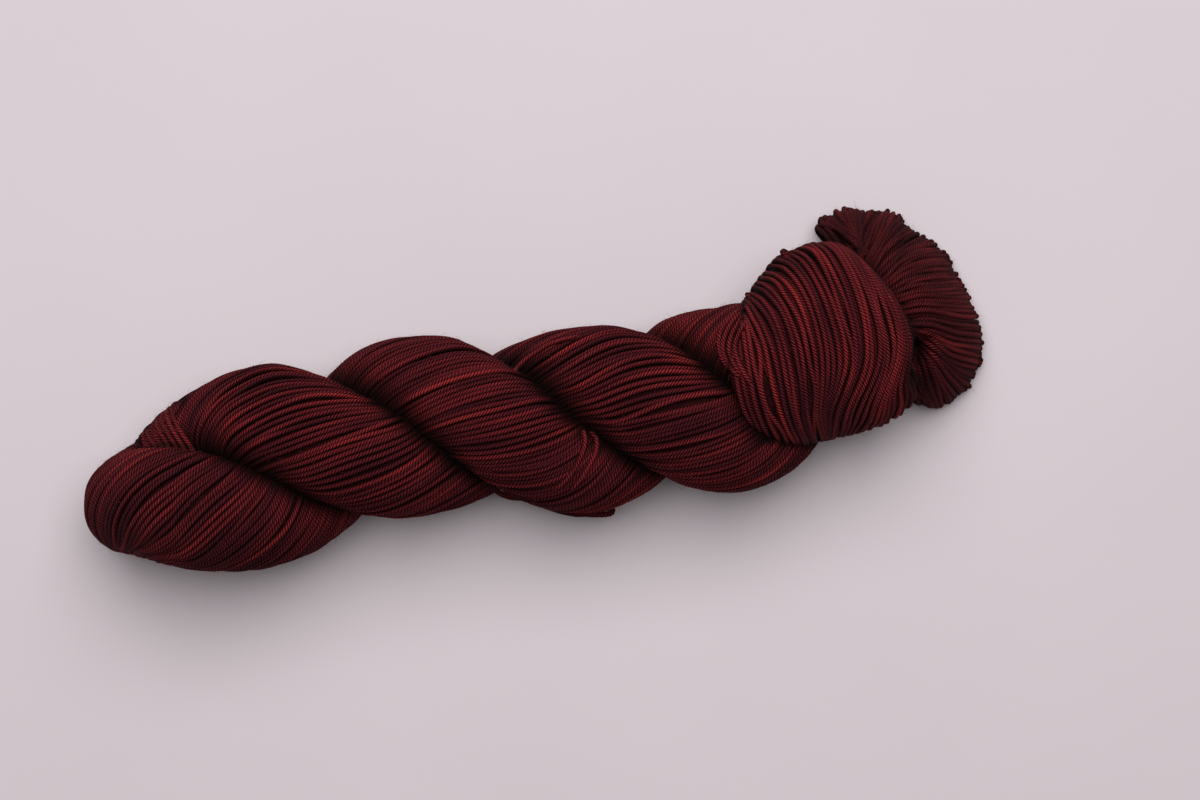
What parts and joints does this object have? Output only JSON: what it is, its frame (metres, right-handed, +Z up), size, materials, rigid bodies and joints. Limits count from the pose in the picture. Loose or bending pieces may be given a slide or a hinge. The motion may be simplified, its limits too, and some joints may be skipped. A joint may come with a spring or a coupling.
{
  "type": "twisted hank of yarn",
  "caption": "Twisted hank of dark red yarn: a loop twisted into a two-strand rope, with a sleeve of yarn over one end and its loops fanned out.",
  "frame": {"origin": "on the surface that the hank lies on, under the middle of its bounding box", "axes": "+X along the hank from the folded end to the fan of loops, +Y across it, +Z up from the surface"},
  "size_m": [0.2847, 0.0802, 0.0534],
  "materials": {
    "yarn": "plied wool, tonal dark red, matt with a soft sheen"
  },
  "bodies": {
    "root": {"hank": "yarn"}
  },
  "joints": []
}
